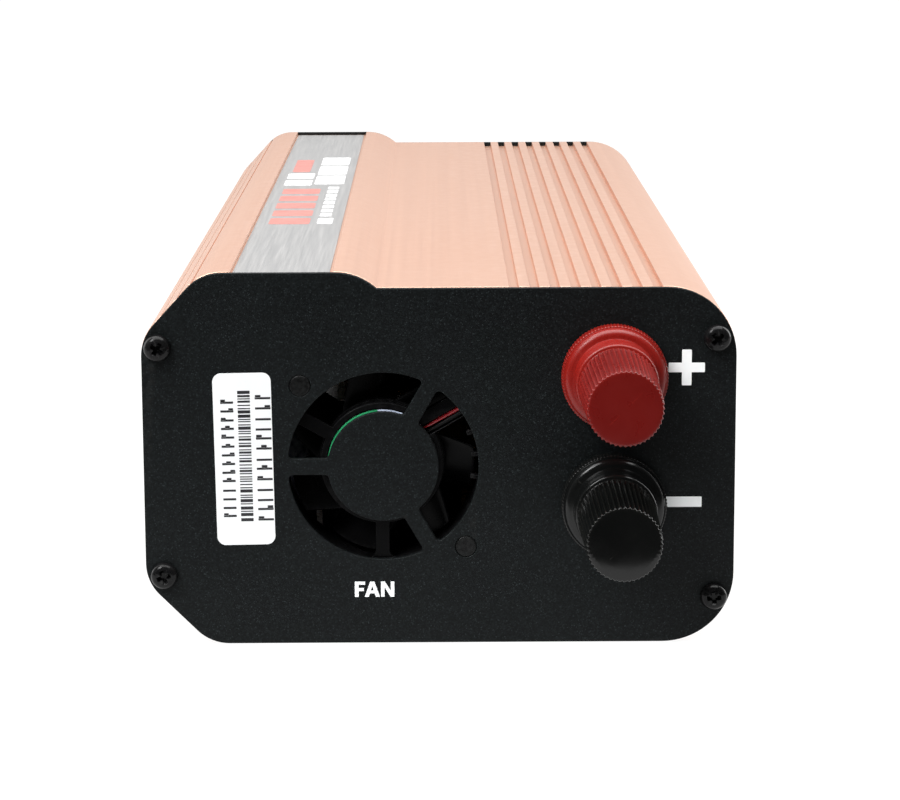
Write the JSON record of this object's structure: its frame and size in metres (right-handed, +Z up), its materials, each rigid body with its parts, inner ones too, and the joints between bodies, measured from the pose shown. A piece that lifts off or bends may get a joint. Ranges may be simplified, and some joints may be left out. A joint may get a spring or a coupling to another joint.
{
  "type": "power inverter",
  "caption": "Slim aluminium-cased DC to AC power inverter with a fan grille and two ridged screw terminals at one end, mains outlets and a rocker switch at the other.",
  "frame": {"origin": "centre of the bounding box in plan, on the plane of the flat base", "axes": "-Y towards the battery terminals and the fan, +Y towards the mains outlets, +Z up, +X to the right seen from the battery end"},
  "size_m": [0.115, 0.3258, 0.0735],
  "materials": {
    "shell": "satin rose-gold anodised extrusion with a fine lengthwise grain",
    "panel": "black fine-texture powder coat with small sparkles",
    "black_screw": "black oxide, slightly glossy",
    "nameplate": "satin silver-grey film",
    "white_label": "smooth white film label",
    "fan_plastic": "black glass-filled nylon, half gloss",
    "bronze": "sintered bronze",
    "copper_wire": "enamelled copper",
    "sticker": "printed film sticker",
    "magnet": "bonded ferrite",
    "steel": "plain and zinc-plated steel",
    "red_wire": "soft red insulation",
    "black_wire": "soft black insulation",
    "white_wire": "soft white insulation",
    "red_plastic": "glossy red thermoset, moulded",
    "black_plastic": "glossy black thermoset, moulded",
    "brass": "turned brass",
    "tin": "tin-plated copper",
    "circuit_board": "green solder mask",
    "fuse_body": "translucent amber",
    "capacitor": "shrink sleeve",
    "ferrite": "ground ferrite",
    "tape": "yellow polyester tape",
    "toroid": "yellow coated powder core",
    "epoxy": "moulded epoxy",
    "pad": "silicone thermal pad",
    "bar": "mill finish",
    "outlet_plastic": "black flame-retardant nylon",
    "usb_metal": "nickel-plated steel",
    "green_lens": "diffused green epoxy",
    "red_lens": "diffused red epoxy"
  },
  "bodies": {
    "case": {"top_shell": "shell", "bottom_shell": "shell", "front_panel": "panel", "rear_panel": "panel", "front_panel_screws": "black_screw", "rear_panel_screws": "black_screw", "nameplate_label": "nameplate", "serial_label": "white_label", "fan_frame": "fan_plastic", "fan_bearing": "bronze", "fan_stator": "copper_wire", "fan_sticker": "sticker", "fan_studs": "black_screw", "fan_nuts": "steel", "fan_lead_red": "red_wire", "fan_lead_black": "black_wire", "positive_collar": "red_plastic", "negative_collar": "black_plastic", "terminal_bushes": "black_plastic", "terminal_studs": "brass", "terminal_nuts": "brass", "terminal_lugs": "tin", "positive_lead": "red_wire", "negative_lead": "black_wire", "main_board": "circuit_board", "input_fuses": "fuse_body", "input_capacitors": "capacitor", "transformer_cores": "ferrite", "transformer_windings": "tape", "transformer_bobbins": "epoxy", "input_transistors": "epoxy", "output_transistors": "epoxy", "insulating_pads": "pad", "heat_spreaders": "bar", "transistor_clamps": "steel", "clamp_screws": "steel", "bus_capacitors": "capacitor", "driver_board": "circuit_board", "choke_core": "toroid", "choke_winding": "copper_wire", "ac_outlets": "outlet_plastic", "outlet_contacts": "brass", "ac_wires": "white_wire", "switch_body": "outlet_plastic", "switch_terminals": "brass", "usb_socket": "usb_metal", "usb_insert": "white_label", "power_led": "green_lens", "fault_led": "red_lens"},
    "fan_rotor": {"fan_rotor": "fan_plastic", "fan_magnet": "magnet", "fan_shaft": "steel"},
    "positive_carrier": {"positive_washer": "brass"},
    "positive_knob": {"positive_knob": "red_plastic", "positive_insert": "brass"},
    "negative_carrier": {"negative_washer": "brass"},
    "negative_knob": {"negative_knob": "black_plastic", "negative_insert": "brass"},
    "switch_rocker": {"switch_rocker": "outlet_plastic"}
  },
  "joints": [
    {"name": "fan_spin", "type": "hinge", "parent": "case", "child": "fan_rotor", "pos_m": [-0.01115, -0.12225, 0.03585], "axis": [0, -1, 0], "continuous": true},
    {"name": "positive_knob_travel", "type": "slide", "parent": "case", "child": "positive_carrier", "axis": [0, -1, 0], "range_m": [0, 0.01]},
    {"name": "positive_knob_turn", "type": "hinge", "parent": "positive_carrier", "child": "positive_knob", "pos_m": [0.0338, -0.13995, 0.0531], "axis": [0, -1, 0], "range_deg": [0, 2880]},
    {"name": "negative_knob_travel", "type": "slide", "parent": "case", "child": "negative_carrier", "axis": [0, -1, 0], "range_m": [0, 0.01]},
    {"name": "negative_knob_turn", "type": "hinge", "parent": "negative_carrier", "child": "negative_knob", "pos_m": [0.0338, -0.13995, 0.02785], "axis": [0, -1, 0], "range_deg": [0, 2880]},
    {"name": "switch_rock", "type": "hinge", "parent": "case", "child": "switch_rocker", "pos_m": [0.038, 0.15895, 0.048], "axis": [1, 0, 0], "range_deg": [0, 20]}
  ],
  "couplings": [
    {"joint": "positive_knob_travel", "follows": "positive_knob_turn", "m_per_rad": 0.00019894},
    {"joint": "negative_knob_travel", "follows": "negative_knob_turn", "m_per_rad": 0.00019894}
  ]
}
